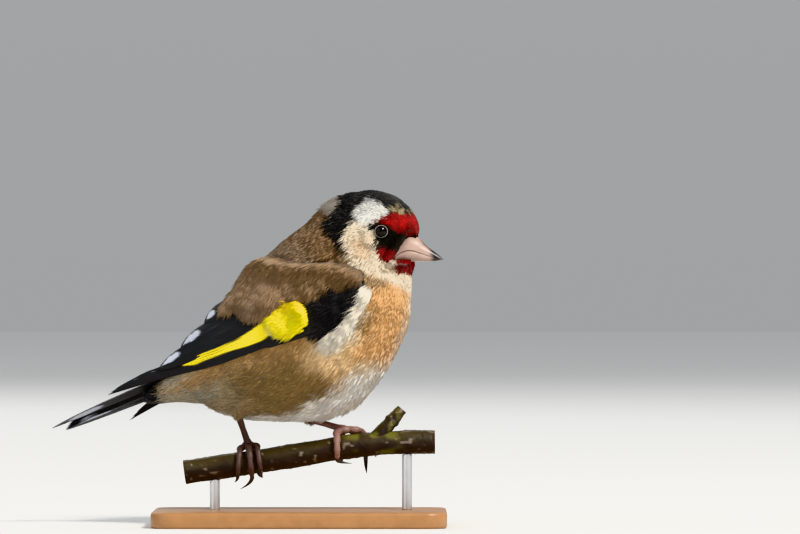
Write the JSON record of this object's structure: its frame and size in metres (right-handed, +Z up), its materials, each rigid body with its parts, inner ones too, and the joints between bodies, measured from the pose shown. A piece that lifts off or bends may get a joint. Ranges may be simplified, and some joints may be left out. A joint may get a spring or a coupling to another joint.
{
  "type": "european goldfinch",
  "caption": "Life-size European goldfinch with red face, folded black and yellow wings and forked tail, gripping a cut length of branch on a small stand",
  "frame": {"origin": "middle of the stand base's underside", "axes": "+Z up, the branch runs along X, the bird heads along +X turned 13 degrees towards -Y, its right side towards -Y"},
  "size_m": [0.1135, 0.05, 0.0956],
  "materials": {
    "crown": "short matt black, white and red feathers",
    "buff": "soft warm buff-brown body feathers",
    "breast": "soft buff and white underparts",
    "mantle": "soft brown back and shoulder feathers",
    "black_feather": "satin black flight, tail and covert feathers",
    "yellow_feather": "satin yellow covert feathers",
    "horn": "pale pinkish horn, satin",
    "eye": "wet dark brown",
    "leg_skin": "scaled pinkish brown skin",
    "claw": "dark horn",
    "bark": "smooth purplish-brown bark with pale pores",
    "base_wood": "oiled hardwood",
    "rod_steel": "fine brushed steel"
  },
  "bodies": {
    "root": {"bill_lower": "horn", "bill_upper": "horn", "claw_left_1": "claw", "claw_left_2": "claw", "claw_left_3": "claw", "claw_left_4": "claw", "claw_right_1": "claw", "claw_right_2": "claw", "claw_right_3": "claw", "claw_right_4": "claw", "eye_left": "eye", "eye_right": "eye", "head": "crown", "neck": "buff", "perch": "bark", "stand_base": "base_wood", "stand_rod_front": "rod_steel", "stand_rod_rear": "rod_steel", "tail": "black_feather", "tarsus_left": "leg_skin", "tarsus_right": "leg_skin", "thigh_left": "breast", "thigh_right": "breast", "toe_left_1": "leg_skin", "toe_left_2": "leg_skin", "toe_left_3": "leg_skin", "toe_left_4": "leg_skin", "toe_right_1": "leg_skin", "toe_right_2": "leg_skin", "toe_right_3": "leg_skin", "toe_right_4": "leg_skin", "torso": "breast", "wing_left_band": "yellow_feather", "wing_left_coverts": "black_feather", "wing_left_flight": "black_feather", "wing_left_scapulars": "mantle", "wing_right_band": "yellow_feather", "wing_right_coverts": "black_feather", "wing_right_flight": "black_feather", "wing_right_scapulars": "mantle"}
  },
  "joints": []
}
